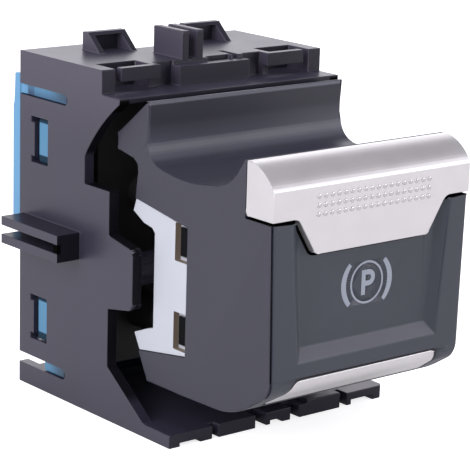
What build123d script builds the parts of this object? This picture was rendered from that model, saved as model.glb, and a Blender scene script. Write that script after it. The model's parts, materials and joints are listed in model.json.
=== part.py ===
"""Electric parking brake switch for a centre console.

Millimetres. X runs to the right, Y to the rear, Z up. The origin is on the underside, in the
middle of the width, level with the front of the roof.
"""

import os
from math import cos, hypot, radians, sin

from build123d import *

os.makedirs("parts", exist_ok=True)

# Housing
housing_width = 48.0
housing_height = 60.0
drawn_height = 60.0  # the levels below are drawn on a housing of this height
housing_depth = 24.3  # roof front to open rear
wall = 2.0
roof_thickness = 2.0
floor_thickness = 2.3
floor_reach = 20.2  # how far the floor runs ahead of the roof
ledge_reach = 5.0
ledge_thickness = 0.9
beam_height = 4.1  # front edge of the roof, above the ledge
beam_gap = 2.0

# Stepped front edge of the side walls
arch_low = 15.25  # below the roof top
arch_bulge = 0.5
recess_depth = 4.7
recess_low = 20.0  # below the roof top
front_step = 2.5
ear_reach = 9.3
ear_half = 6.35
ear_slope = 1.2
ear_round = 1.4
skirt_height = 9.6
skirt_reach = 12.9

# Cuts in the side walls
slot_height = 1.9
slot_length = 14.4
slot_inset = 6.7  # centre line from the top and, lower down, from the underside
lower_slot_inset = 4.65
window_inset = 8.6  # front edge ahead of the open rear
window_width = 4.0
window_height = 8.1
serif_width = 1.1
serif_height = 1.0
upper_window_low = 19.1  # below the roof top
lower_window_low = 8.9

# Side rails
rail_reach = 4.75
rail_thickness = 1.6
rail_gap = 1.6
rail_low = 26.5
rail_front = 5.7
rail_inset = 1.3
rail_end = 1.4

# Latch fingers and notches in the roof's front edge, measured in from the side
post_width = 2.8
finger_start = 4.0
finger_end = 12.2
finger_root = 1.3
finger_thickness = 2.3
finger_depth = 1.4
pocket_depth = 5.6
notch_end = 16.3
notch_depth = 2.5
block_drop = 0.7
groove_width = 1.0
groove_length = 6.6
groove_depth = 1.5
groove_x = 6.1

# Lugs, plates and cut-out on the roof
lug_start = 9.4
lug_width = 8.0
lug_height = 3.3
lug_inset = 5.3
lug_length = 5.3
lug_flat = 1.6
lug_wall = 1.2
lug_round = 0.5
plate_thickness = 1.4
plate_height = 4.9
plate_front = 2.0
plate_length = 8.3
plate_round = 0.5
plate_places = (-5.0, -1.9)
cutout_half = 6.3
cutout_length = 8.1

# Notched front edge of the floor: start and width in from the left, and depth
floor_notches = ((9.1, 1.3, 1.6), (18.5, 2.4, 3.6), (26.3, 1.9, 2.6), (37.7, 1.6, 2.6))
floor_corner = 0.8

# Shallow hollows under the floor's front edge: start and width in from the left, and height
floor_hollows = ((2.3, 4.2, 0.6), (21.8, 2.6, 0.7), (40.4, 5.0, 0.9))
hollow_length = 3.0
floor_pad_start = 30.0
floor_pad_width = 7.6
floor_pad_length = 5.0
floor_pad_rise = 0.5

# Pivot
pivot_y = -3.5
pivot_z = 26.1
pin_radius = 1.0
pin_clearance = 0.05
pin_seat = 0.6  # how far each pin enters the wall beyond its boss
boss_radius = 2.8
boss_length = 9.6
hub_width = 2.8
hub_radius = 2.8
hub_gap = 0.4
pin_overhang = 0.2

# Paddle
side_gap = 0.8
shell_wall = 1.6
side_wall = 1.8
side_draft = 0.75  # how far each side draws in at the toe's front corner
draft_reach = 21.2  # depth behind the front at which that ends along the bottom
front_reach = 41.2
paddle_bottom = 8.5
scoop_back = 9.1
scoop_depth = 11.5  # below the ledge's top
lip_root = 10.7  # behind the front
lip_root_rise = 1.5
lip_reach = 7.2  # behind the front
lip_drop = 5.0  # top of the grip below the ledge's top
# Radii of the scoop as shares of its width
back_round = 0.19
floor_round = 1.3
lip_round = 0.28
toe_z = 14.3
toe_radius = 4.0
heel_run = 9.1  # behind the front
heel_radius = 15.0
tail_bottom = -10.0
tail_y = -5.9
tail_rise = 7.6
tail_radius = 0.8
wing_low = 39.3
wing_hook = 0.7
wing_hook_z = 44.2
wing_z = 45.7
wing_slope = 1.0
wing_rear = -0.8
wing_top_z = 49.6
wing_radius = 0.6
crest_width = 0.5

# Face panel
panel_thickness = 1.6
panel_lip = 0.4  # side wall left outside the panel
panel_set_forward = 0.4  # panel front ahead of the side walls' front edge
panel_gap = 0.1
panel_rear_end = 6.2  # how far the panel wraps under, behind its front
field_top_half = 17.2
field_bottom_half = 15.1
field_low = 18.6
field_depth = 1.4
field_slope = 2.1
field_lean = 0.7
field_back = 1.6

# Grip trim
trim_wall = 1.5
trim_depth = 6.6
trim_round_reach = 5.5
trim_round_drop = 3.9
trim_round_bulge = 0.72
cap_drift = 0.35
trim_corner = 0.8
trim_skirt = 4.9  # below the crease
tongue_top_half = 15.9
tongue_bottom_half = 12.1
tongue_lean = 0.6
tongue_low = 11.0  # below the crease
tongue_round = 1.2
trim_gap = 0.45
trim_seat = 0.1
dot_rows = 3
dot_columns = 18
dot_pitch = 1.4
dot_row_pitch = 1.45
dot_radius = 0.42
dot_height = 0.18
dot_top = 1.65  # first row below the crease

# Lower trim
strip_top = 15.7
strip_top_half = 15.15
strip_flare = 0.39  # widening for each millimetre down
strip_thickness = 1.1
strip_reach = 5.4
strip_gap = 0.35
strip_round = 1.0

# Symbol
symbol_x = 0.3
symbol_z = 29.4
symbol_depth = 0.4
ring_radius = 3.58
ring_line = 0.36
bracket_reach = 5.55  # from the ring's centre to the middle of a bracket's outer edge
bracket_line = 1.05
bracket_tip_reach = 5.35
bracket_tip_line = 0.75
bracket_half_angle = 42.5
letter_shift = 0.3
letter_width = 2.9
letter_height = 4.15
letter_line = 0.85
letter_bowl = 0.65

# Carrier
carrier_inset = 0.3
carrier_side = 2.2
carrier_front = -20.0
carrier_gap = 0.1
carrier_low_rear = 13.3
carrier_low_front = 15.2
carrier_high_front = 37.1
carrier_heel = 1.5
carrier_nose = 0.8
carrier_nose_rise = 2.0
notch_top = 35.0
notch_bottom = 18.0
web_y = -11.1
web_thickness = 1.8
carrier_plate = 1.5
flange_length = 3.5
hook_length = 3.4
hook_height = 6.4
hook_depth = 1.2
hook_recess = 0.6  # how far a hook stays inside the carrier's face
hook_rise = 0.5
hook_spread = 7.5
hook_play = 0.7
hook_engagement = 2.8
hub_flare = 1.4
arm_lever = 10.5
arm_x = 10.0
arm_width = 4.0
arm_height = 3.2
arm_rear = -3.0

# Switching block, plungers, springs and domes
tip_gap = 0.15
plunger_radius = 2.0
collar_radius = 2.25
collar_length = 1.2
tip_share = 0.6
stem_radius = 0.7
bore_clearance = 0.1
shaft_clearance = 0.08
tube_wall = 1.1
tube_front = -0.6
tube_lip = 1.3
collar_play = 1.35
block_depth = 5.5
block_thickness = 1.5
block_half = 19.9
block_low = 6.5
block_high = 53.0
block_side = 1.4
light_window = 8.0
board_inset = 12.3  # ahead of the open rear
board_thickness = 1.6
board_half = 19.8
board_low = 5.0
board_high = 55.5
board_gap = 0.2
dome_radius = 1.15
dome_height = 0.5
dome_bulge = 0.6
stem_gap = 1.45
spring_wire = 0.18
spring_turns = 6.0
spring_seat = 0.02

# Rear cover
cover_gap = 0.2
cover_wall = 1.6
cover_overlap = 3.0  # ahead of the board
lower_back_inset = 7.4
upper_back_gap = 0.3
step_z = 28.0
flange_top = 4.2  # below the roof top
flange_inset = 0.2
flange_step_z = 50.3
flange_step = 0.6
tongue_gap = 0.25
tongue_length = 3.0
tongue_recess = 0.5
rib_recess = 0.5
ledge_width = 1.6
shroud_half = 11.0
shroud_low = 33.0
shroud_high = 48.0
shroud_wall = 1.4
shroud_length = 11.8
pin_count = 8
pin_side = 0.64
pin_relief = 0.2  # room round a pin's tip in the switching block
pin_pitch = 4.0
pin_row_gap = 6.0
pin_reach = 5.7
chip_width = 7.0
chip_height = 7.0
chip_thickness = 1.2
chip_z = 21.0

# Lamp and light guide
led_width = 3.0
led_height = 1.4
guide_head_x = 6.2
guide_head_z = 4.1
guide_head_length = 3.0
guide_bar = 5.0
guide_rear = 3.0
guide_clearance = 0.05

# Levels and spans that follow from the sizes above


def at_height(level):
    """A level drawn on the nominal housing, moved in step with the housing's height."""
    return level * housing_height / drawn_height


skirt_level = at_height(skirt_height)
lower_window_level = at_height(lower_window_low)
rail_level = at_height(rail_low)
pivot_level = at_height(pivot_z)
bottom_level = at_height(paddle_bottom)
toe_level = at_height(toe_z)
wing_foot = at_height(wing_low)
wing_hook_level = at_height(wing_hook_z)
wing_level = at_height(wing_z)
wing_top = at_height(wing_top_z)
field_level = at_height(field_low)
strip_level = at_height(strip_top)
symbol_level = at_height(symbol_z)
carrier_heel_level = at_height(carrier_low_rear)
carrier_low = at_height(carrier_low_front)
carrier_high = at_height(carrier_high_front)
notch_high = at_height(notch_top)
notch_low = at_height(notch_bottom)
lever = at_height(arm_lever)
block_foot = at_height(block_low)
block_head = at_height(block_high)
board_bottom = at_height(board_low)
board_top = at_height(board_high)
step_level = at_height(step_z)
flange_step_level = at_height(flange_step_z)
shroud_bottom = at_height(shroud_low)
shroud_top = at_height(shroud_high)
chip_level = at_height(chip_z)
lip_fall = at_height(lip_drop)
scoop_fall = at_height(scoop_depth)
tongue_fall = at_height(tongue_low)
half_width = housing_width / 2
inner_half = half_width - wall
ledge_top = housing_height - beam_height
ledge_low = ledge_top - ledge_thickness
paddle_half = inner_half - side_gap
cavity_half = paddle_half - side_wall
panel_half = paddle_half - panel_lip
seat_half = panel_half + panel_gap
crease_z = ledge_top - lip_fall - trim_round_drop
grip_top = ledge_top - lip_fall
scoop_low = ledge_top - scoop_fall
skirt_z = crease_z - trim_skirt
skin_y = -front_reach
heel_y = skin_y + heel_run
lip_root_y = skin_y + lip_root
lip_y = skin_y + lip_reach
scoop_width = -scoop_back - lip_root_y
board_y = housing_depth - board_inset
block_front = board_y - block_depth
cover_front = board_y - cover_overlap
beam_depth = cover_front - beam_gap
lower_back = housing_depth - lower_back_inset
upper_back = housing_depth + upper_back_gap
window_front = housing_depth - window_inset
rail_rear = housing_depth - rail_inset
lug_rear = housing_depth - lug_inset
lower_pivot_z = pivot_level - lever
upper_pivot_z = pivot_level + lever
boss_face = inner_half - boss_length
hub_outer = boss_face - hub_gap
plunger_tip = arm_rear + tip_gap
bore_radius = collar_radius + bore_clearance
tube_radius = bore_radius + tube_wall
collar_front = tube_front + tube_lip + collar_play
board_rear = board_y + board_thickness
cover_half = inner_half - cover_gap
cover_low = floor_thickness + cover_gap
cover_high = housing_height - roof_thickness - cover_gap
flange_rear = upper_back + cover_wall


def box(x_low, x_high, y_low, y_high, z_low, z_high, mode=Mode.ADD):
    """A block between two levels on each axis."""
    centre = ((x_low + x_high) / 2, (y_low + y_high) / 2, (z_low + z_high) / 2)
    with Locations(centre):
        Box(x_high - x_low, y_high - y_low, z_high - z_low, mode=mode)


def side_slab(points, x_low, x_high, radii=0.0, mode=Mode.ADD):
    """A slab between two X levels, with an outline drawn in Y and Z."""
    with BuildSketch(Plane.YZ.offset(x_low)) as outline:
        with BuildLine():
            FilletPolyline(*points, radius=radii, close=True)
        make_face()
    extrude(outline.sketch, amount=x_high - x_low, mode=mode)


def front_slab(points, y_front, y_rear, radii=0.0, mode=Mode.ADD):
    """A slab between two Y levels, with an outline drawn in X and Z."""
    with BuildSketch(Plane.XZ.offset(-y_rear)) as outline:
        with BuildLine():
            FilletPolyline(*points, radius=radii, close=True)
        make_face()
    extrude(outline.sketch, amount=y_rear - y_front, mode=mode)


def rod_x(y, z, radius, x_low, x_high, mode=Mode.ADD):
    """A round bar along X."""
    with BuildSketch(Plane.YZ.offset(x_low)) as disc:
        with Locations((y, z)):
            Circle(radius)
    extrude(disc.sketch, amount=x_high - x_low, mode=mode)


def rod_y(x, z, radius, y_low, y_high, mode=Mode.ADD):
    """A round bar along Y."""
    with BuildSketch(Plane.XZ.offset(-y_high)) as disc:
        with Locations((x, z)):
            Circle(radius)
    extrude(disc.sketch, amount=y_high - y_low, mode=mode)


def finish(builder, name):
    """Labels a piece and writes it."""
    builder.part.label = name
    export_step(builder.part, f"parts/{name}.step")


# Housing
wall_points = (
    (housing_depth, 0),
    (-floor_reach, 0),
    (-floor_reach, floor_thickness),
    (-skirt_reach, floor_thickness),
    (-front_step, skirt_level),
    (-front_step, pivot_level - ear_half),
    (-ear_reach, pivot_level - ear_half + ear_slope),
    (-ear_reach, pivot_level + ear_half - ear_slope),
    (-front_step, pivot_level + ear_half),
    (-front_step, housing_height - recess_low),
    (recess_depth, housing_height - recess_low),
    (recess_depth, housing_height),
    (housing_depth, housing_height),
)
wall_radii = (0, 0, 0, 0, 0, 0, ear_round, ear_round, 0, 0, 0, 0, 0)
arch_base = housing_height - arch_low
arch_mid = ((recess_depth - ledge_reach) / 2 + arch_bulge, (arch_base + ledge_low) / 2 + arch_bulge)
windows = (housing_height - upper_window_low, lower_window_level)
slots = (housing_height - slot_inset, lower_slot_inset)

with BuildPart() as housing:
    side_slab(wall_points, -half_width, -inner_half, wall_radii)
    # Arched shoulder under the ledge
    with BuildSketch(Plane.YZ.offset(-half_width)):
        with BuildLine():
            ThreePointArc((recess_depth, arch_base), arch_mid, (-ledge_reach, ledge_low))
            Polyline(
                (-ledge_reach, ledge_low),
                (-ledge_reach, ledge_top),
                (0, ledge_top),
                (0, housing_height),
                (recess_depth, housing_height),
                (recess_depth, arch_base),
            )
        make_face()
    extrude(amount=wall)
    for low in windows:
        rear = window_front + window_width
        box(-half_width, -inner_half, window_front, rear, low, low + window_height, Mode.SUBTRACT)
        for end in (low, low + window_height - serif_height):
            box(-half_width, -inner_half, rear, rear + serif_width, end, end + serif_height, Mode.SUBTRACT)
    for middle in slots:
        start = housing_depth - slot_length + slot_height / 2
        rod_x(start, middle, slot_height / 2, -half_width, -inner_half, Mode.SUBTRACT)
        low = middle - slot_height / 2
        box(-half_width, -inner_half, start, housing_depth, low, low + slot_height, Mode.SUBTRACT)
    # Rails: two ribs joined at the front
    rail_top = rail_level + 2 * rail_thickness + rail_gap
    for low in (rail_level, rail_top - rail_thickness):
        box(-half_width - rail_reach, -half_width, rail_front, rail_rear, low, low + rail_thickness)
    box(-half_width - rail_reach, -half_width, rail_front, rail_front + rail_end, rail_level, rail_top)
    # Boss for the pivot pin, blind from inside
    rod_x(pivot_y, pivot_level, boss_radius, -inner_half, -boss_face)
    rod_x(pivot_y, pivot_level, pin_radius, -inner_half - pin_seat, -boss_face, Mode.SUBTRACT)
    # Half of the roof, ledge and floor
    box(-half_width, 0, 0, housing_depth, housing_height - roof_thickness, housing_height)
    box(-half_width, 0, 0, beam_depth, ledge_low, housing_height)
    box(-half_width, 0, -ledge_reach, 0, ledge_low, ledge_top)
    box(-half_width, 0, -floor_reach, housing_depth, 0, floor_thickness)
    # Latch finger: pocket behind it, recess below it and gap at its free end
    pocket = (finger_depth, pocket_depth, ledge_top, housing_height, Mode.SUBTRACT)
    box(-half_width + post_width, -half_width + finger_end - finger_root, *pocket)
    recess = (0, finger_depth, ledge_top, housing_height - finger_thickness, Mode.SUBTRACT)
    box(-half_width + post_width, -half_width + finger_end, *recess)
    free_end = (0, finger_depth, ledge_top, housing_height, Mode.SUBTRACT)
    box(-half_width + post_width, -half_width + finger_start, *free_end)
    notch = (0, notch_depth, ledge_top, housing_height, Mode.SUBTRACT)
    box(-half_width + finger_end, -half_width + notch_end, *notch)
    # Hollow wedge lug
    lug_left = -half_width + lug_start
    lug_top = housing_height + lug_height
    lug_points = (
        (lug_rear, housing_height),
        (lug_rear, lug_top),
        (lug_rear - lug_flat, lug_top),
        (lug_rear - lug_length, housing_height),
    )
    side_slab(lug_points, lug_left, lug_left + lug_width, (0, lug_round, lug_round, 0))
    hollow = (lug_rear - lug_length, lug_rear - lug_wall, housing_height, lug_top - lug_wall / 2)
    box(lug_left + lug_wall, lug_left + lug_width - lug_wall, *hollow, Mode.SUBTRACT)
    mirror(about=Plane.YZ)
    cutout = (housing_depth - cutout_length, housing_depth, ledge_top, housing_height, Mode.SUBTRACT)
    box(-cutout_half, cutout_half, *cutout)
    # Lowered middle of the front edge, with its groove
    block_half_width = half_width - notch_end
    block_top = housing_height - block_drop
    box(-block_half_width, block_half_width, 0, plate_front, block_top, housing_height, Mode.SUBTRACT)
    groove = (plate_front, groove_length, housing_height - groove_depth, housing_height, Mode.SUBTRACT)
    box(groove_x - groove_width / 2, groove_x + groove_width / 2, *groove)
    box(0, groove_x - groove_width, plate_front, plate_front + groove_width, *groove[2:])
    # Upright plates
    plate_top = housing_height + plate_height
    plate_points = (
        (plate_front, housing_height),
        (plate_front, plate_top),
        (plate_front + plate_length, plate_top),
        (plate_front + plate_length, housing_height),
    )
    for middle in plate_places:
        left = middle - plate_thickness / 2
        side_slab(plate_points, left, left + plate_thickness, (0, plate_round, plate_round, 0))
    # Notched floor edge
    for start, width, depth in floor_notches:
        left = -half_width + start
        box(left, left + width, -floor_reach, -floor_reach + depth, 0, floor_thickness, Mode.SUBTRACT)
    for start, width, height in floor_hollows:
        left = -half_width + start
        box(left, left + width, -floor_reach, -floor_reach + hollow_length, 0, height, Mode.SUBTRACT)
    pad_left = -half_width + floor_pad_start
    pad = (-floor_reach, -floor_reach + floor_pad_length, floor_thickness, floor_thickness + floor_pad_rise)
    box(pad_left, pad_left + floor_pad_width, *pad)
    front_edges = housing.edges().filter_by(Axis.Z).group_by(Axis.Y)[0]
    chamfer(front_edges.sort_by(Axis.X)[-1], length=floor_corner)
finish(housing, "housing")


# Paddle outlines, in Y and Z
toe_slope = (toe_level - bottom_level) / (heel_y + front_reach)
toe_stretch = hypot(1, toe_slope)


def toe_line(inset, y):
    """Height of the paddle's sloping lower front, sunk by an inset, at a depth."""
    return toe_level + inset * toe_stretch - toe_slope * (y - skin_y)


def skin_points(inset, top, reach):
    """Section of a skin of one thickness, laid on the front and the lower front."""
    end = skin_y + reach
    inner_end = end + inset * toe_slope / toe_stretch
    return (
        (skin_y, top),
        (skin_y, toe_level),
        (end, toe_line(0, end)),
        (inner_end, toe_line(inset, inner_end)),
        (skin_y + inset, toe_line(inset, skin_y + inset)),
        (skin_y + inset, top),
    )


def skin_radii(inset):
    """Corner radii of that section: the toe is round outside and inside."""
    return (0, toe_radius, 0, 0, toe_radius - inset, 0)


def drafted(inset):
    """Trims the part in hand to the paddle's sides, which draw in towards the lower front corners."""
    outer = paddle_half - inset
    for side in (-1, 1):
        edge = Vector(0, draft_reach, bottom_level - skirt_z)
        drop = Vector(-side * side_draft, 0, toe_level - skirt_z)
        corner = (side * outer, skin_y, skirt_z)
        split(bisect_by=Plane(origin=corner, z_dir=drop.cross(edge) * side), keep=Keep.BOTTOM)


shell_front = skin_y + panel_set_forward
floor_mid_y = (lip_root_y - scoop_back) / 2
shell_points = (
    (-scoop_back, ledge_top),
    (-scoop_back, scoop_low + lip_root_rise),
    (floor_mid_y, scoop_low),
    (lip_root_y, scoop_low + lip_root_rise),
    (lip_y, grip_top),
    (skin_y + trim_round_reach, grip_top),
    (shell_front, crease_z),
    (shell_front, toe_line(0, shell_front)),
    (heel_y, bottom_level),
    (tail_bottom, bottom_level),
    (tail_y, bottom_level + tail_rise),
    (tail_y, wing_foot),
    (tail_y - wing_hook, wing_hook_level),
    (tail_y, wing_level),
    (wing_rear, wing_level + wing_slope),
    (wing_rear, wing_top),
    (-scoop_back + crest_width, ledge_top),
)
shell_radii = (
    0, scoop_width * back_round, scoop_width * floor_round, scoop_width * lip_round, 0, 0, 0,
    toe_radius, heel_radius,
    tail_radius, tail_radius, 0, tail_radius, tail_radius, wing_radius, wing_radius, 0,
)
pocket_depth_y = panel_thickness + panel_gap
cavity_front = skin_y + pocket_depth_y
lip_wall_y = cavity_front + shell_wall
cavity_floor = bottom_level + shell_wall
cavity_heel = skin_y + (toe_level + pocket_depth_y * toe_stretch - cavity_floor) / toe_slope
tongue_z = crease_z - tongue_fall
field_floor = skin_y + field_depth
field_rear = field_floor + field_back
cavity_points = (
    (housing_depth, cavity_floor),
    (cavity_heel, cavity_floor),
    (cavity_front, toe_line(pocket_depth_y, cavity_front)),
    (cavity_front, skirt_z - trim_gap),
    (lip_wall_y, skirt_z - trim_gap),
    (lip_wall_y, crease_z - shell_wall),
    (lip_y - shell_wall / 2, grip_top - trim_wall - shell_wall),
    (lip_root_y - shell_wall / 2, scoop_low + lip_root_rise - shell_wall),
    (floor_mid_y, scoop_low - shell_wall),
    (-scoop_back + shell_wall, scoop_low + lip_root_rise - shell_wall),
    (-scoop_back + shell_wall, housing_height),
    (housing_depth, housing_height),
)


def cap_outline(inset, rear, low):
    """Draws the grip's section, sunk by an inset, in the line in hand."""
    arc_rear = (skin_y + trim_round_reach + inset * cap_drift, grip_top - inset)
    arc_front = (skin_y + inset, crease_z - inset * cap_drift)
    chord = hypot(trim_round_reach, trim_round_drop)
    rise_y = trim_round_drop / chord
    rise_z = trim_round_reach / chord
    bulge = trim_round_bulge
    middle_y = (arc_rear[0] + arc_front[0]) / 2 - rise_y * bulge
    middle_z = (arc_rear[1] + arc_front[1]) / 2 + rise_z * bulge
    ThreePointArc(arc_rear, (middle_y, middle_z), arc_front)
    Polyline(arc_front, (skin_y + inset, low), (rear, low), (rear, grip_top - inset), arc_rear)


def tongue_points(gap, top):
    """Front view of the grip trim below its crease, grown by a gap."""
    lean = gap * tongue_lean
    return (
        (-paddle_half - gap, top),
        (-paddle_half - gap, skirt_z - gap),
        (-tongue_top_half - lean, skirt_z - gap),
        (-tongue_bottom_half - lean, tongue_z - gap),
        (tongue_bottom_half + lean, tongue_z - gap),
        (tongue_top_half + lean, skirt_z - gap),
        (paddle_half + gap, skirt_z - gap),
        (paddle_half + gap, top),
    )


tongue_radii = (0, 0, tongue_round, tongue_round, tongue_round, tongue_round, 0, 0)


def strip_points(gap):
    """Front view of the lower trim, grown by a gap."""
    low_half = strip_top_half + strip_level * strip_flare
    return (
        (-strip_top_half - gap, strip_level + gap),
        (-low_half - gap, 0),
        (low_half + gap, 0),
        (strip_top_half + gap, strip_level + gap),
    )


strip_radii = (strip_round, 0, 0, strip_round)


def symbol_shapes():
    """Circle with the letter P between two brackets, in the sketch in hand."""
    bowl = letter_height * letter_bowl
    left = symbol_x + letter_shift - letter_width / 2
    right = left + letter_width - bowl / 2
    top = symbol_level + letter_height / 2
    with Locations((symbol_x, symbol_level)):
        Circle(ring_radius)
        Circle(ring_radius - ring_line, mode=Mode.SUBTRACT)
    with Locations((left + letter_line / 2, symbol_level)):
        Rectangle(letter_line, letter_height)
    with Locations(((left + right) / 2, top - letter_line / 2)):
        Rectangle(right - left, letter_line)
    with Locations(((left + right) / 2, top - bowl + letter_line / 2)):
        Rectangle(right - left, letter_line)
    with BuildSketch(mode=Mode.PRIVATE) as bowl_ring:
        with Locations((right, top - bowl / 2)):
            Circle(bowl / 2)
            Circle(bowl / 2 - letter_line, mode=Mode.SUBTRACT)
        with Locations((right - bowl / 2, top - bowl / 2)):
            Rectangle(bowl, bowl, mode=Mode.SUBTRACT)
    add(bowl_ring.sketch)
    rise = sin(radians(bracket_half_angle))
    run = cos(radians(bracket_half_angle))
    inner_reach = bracket_reach - bracket_line
    inner_tip = bracket_tip_reach - bracket_tip_line
    for side in (-1, 1):
        outer_x, inner_x = (symbol_x + side * tip * run for tip in (bracket_tip_reach, inner_tip))
        outer_rise, inner_rise = bracket_tip_reach * rise, inner_tip * rise
        outer_ends = [(outer_x, symbol_level + end * outer_rise) for end in (-1, 1)]
        inner_ends = [(inner_x, symbol_level + end * inner_rise) for end in (1, -1)]
        with BuildSketch(mode=Mode.PRIVATE) as bracket:
            with BuildLine():
                ThreePointArc(outer_ends[0], (symbol_x + side * bracket_reach, symbol_level), outer_ends[1])
                Line(outer_ends[1], inner_ends[0])
                ThreePointArc(inner_ends[0], (symbol_x + side * inner_reach, symbol_level), inner_ends[1])
                Line(inner_ends[1], outer_ends[0])
            make_face()
        add(bracket.sketch)


# Bright strip round the lower front, and the seat cut for it
with BuildPart() as lower_trim:
    side_slab(skin_points(strip_thickness, crease_z, strip_reach), -paddle_half, paddle_half,
              skin_radii(strip_thickness))
    front_slab(strip_points(0), skin_y - wall, 0, strip_radii, Mode.INTERSECT)
finish(lower_trim, "lower_trim")

with BuildPart() as strip_seat:
    seat_depth = strip_thickness + panel_gap
    side_slab(skin_points(seat_depth, crease_z, panel_rear_end + wall), -paddle_half, paddle_half,
              skin_radii(seat_depth))
    front_slab(strip_points(strip_gap), skin_y - wall, 0, strip_radii, Mode.INTERSECT)

# Face panel
field_points = (
    (-field_top_half, wing_foot + wall),
    (-field_bottom_half, field_level),
    (field_bottom_half, field_level),
    (field_top_half, wing_foot + wall),
)
floor_half = field_bottom_half - field_slope * field_lean
field_floor_points = (
    (-field_top_half + field_slope, wing_foot + wall),
    (-floor_half, field_level + field_slope),
    (floor_half, field_level + field_slope),
    (field_top_half - field_slope, wing_foot + wall),
)
with BuildPart() as face_panel:
    side_slab(skin_points(panel_thickness, crease_z, panel_rear_end), -panel_half, panel_half,
              skin_radii(panel_thickness))
    drafted(panel_lip)
    front_slab(field_floor_points, field_floor, field_rear)
    with BuildSketch(Plane.XZ.offset(front_reach)) as field_mouth:
        with BuildLine():
            Polyline(*field_points, close=True)
        make_face()
    with BuildSketch(Plane.XZ.offset(-field_floor)) as field_base:
        with BuildLine():
            Polyline(*field_floor_points, close=True)
        make_face()
    loft(sections=[field_mouth.sketch.face(), field_base.sketch.face()], mode=Mode.SUBTRACT)
    front_slab(tongue_points(trim_gap, ledge_top), skin_y - wall, 0, tongue_radii, Mode.SUBTRACT)
    add(strip_seat.part, mode=Mode.SUBTRACT)
    with BuildSketch(Plane.XZ.offset(-field_floor - symbol_depth)) as engraving:
        symbol_shapes()
    extrude(engraving.sketch, amount=symbol_depth, mode=Mode.SUBTRACT)
finish(face_panel, "face_panel")

with BuildPart() as park_symbol:
    with BuildSketch(Plane.XZ.offset(-field_floor - symbol_depth)):
        symbol_shapes()
    extrude(amount=symbol_depth)
finish(park_symbol, "park_symbol")

# Grip trim: a hollow cap over the lip with a tongue down the front
trim_rear = skin_y + trim_depth
with BuildPart() as grip_trim:
    with BuildSketch(Plane.YZ):
        with BuildLine():
            cap_outline(0, trim_rear, skirt_z)
        make_face()
    extrude(amount=paddle_half, both=True)
    lower_rear = grip_trim.edges().filter_by(Axis.X).group_by(Axis.Z)[0].sort_by(Axis.Y)[-1]
    fillet(lower_rear, radius=trim_corner)
    with BuildSketch(Plane.YZ):
        with BuildLine():
            cap_outline(trim_wall, 0, 0)
        make_face()
    extrude(amount=paddle_half - trim_wall, both=True, mode=Mode.SUBTRACT)
    front_slab(tongue_points(0, crease_z), skin_y, skin_y + trim_wall, tongue_radii)
    dot_sphere = (dot_radius**2 + dot_height**2) / (2 * dot_height)
    first_row = crease_z - dot_top
    middle_row = first_row - dot_row_pitch * (dot_rows - 1) / 2
    with Locations((0, skin_y - dot_height + dot_sphere, middle_row)):
        with Locations(Plane.XZ):
            with GridLocations(dot_pitch, dot_row_pitch, dot_columns, dot_rows):
                Sphere(dot_sphere)
finish(grip_trim, "grip_trim")

# Paddle shell
hook_middles = (pivot_level + hook_rise - hook_spread, pivot_level + hook_rise + hook_spread)
carrier_half = paddle_half - carrier_inset
hook_low_x = carrier_half - hook_depth
notch_points = (
    (housing_depth, wing_foot),
    (tail_y, wing_foot),
    (carrier_front, carrier_high),
    (carrier_front, carrier_low),
    (tail_y - carrier_heel, carrier_heel_level),
    (housing_depth, carrier_heel_level),
)
with BuildPart() as panel_seat:
    side_slab(skin_points(pocket_depth_y, crease_z, panel_rear_end + panel_gap), -seat_half, seat_half,
              skin_radii(pocket_depth_y))
    drafted(panel_lip - panel_gap)

with BuildPart() as paddle_shell:
    side_slab(shell_points, -paddle_half, paddle_half, shell_radii)
    drafted(0)
    add(panel_seat.part, mode=Mode.SUBTRACT)
    side_slab(cavity_points, -cavity_half, cavity_half, mode=Mode.SUBTRACT)
    # Lip core, which the grip trim caps
    box(-paddle_half, paddle_half, skin_y, trim_rear + trim_seat, skirt_z - trim_gap, housing_height,
        Mode.SUBTRACT)
    with BuildSketch(Plane.YZ) as core_section:
        with BuildLine():
            cap_outline(trim_wall + trim_seat, lip_y, skirt_z - trim_gap)
        make_face()
    with BuildSketch(Plane.YZ) as core_hollow:
        with BuildLine():
            Polyline(*cavity_points, close=True)
        make_face()
    core_half = paddle_half - trim_wall - trim_seat
    extrude(core_section.sketch - core_hollow.sketch, amount=core_half, both=True)
    # Backing of the trim's tongue
    backing_radii = (0, tongue_round, tongue_round, 0)
    front_slab(tongue_points(trim_gap - panel_gap, crease_z)[2:6], cavity_front, lip_wall_y, backing_radii)
    for side in (-1, 1):
        inner, outer = sorted((side * cavity_half, side * (paddle_half + wall)))
        side_slab(notch_points, inner, outer, mode=Mode.SUBTRACT)
        hook_x = sorted((side * (hook_low_x + panel_gap), side * (carrier_half - hook_recess)))
        for middle in hook_middles:
            low = middle - hook_height / 2 + hook_play
            box(*hook_x, carrier_front - shell_wall, carrier_front + hook_engagement, low,
                middle + hook_height / 2 - hook_play)
finish(paddle_shell, "paddle_shell")

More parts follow.
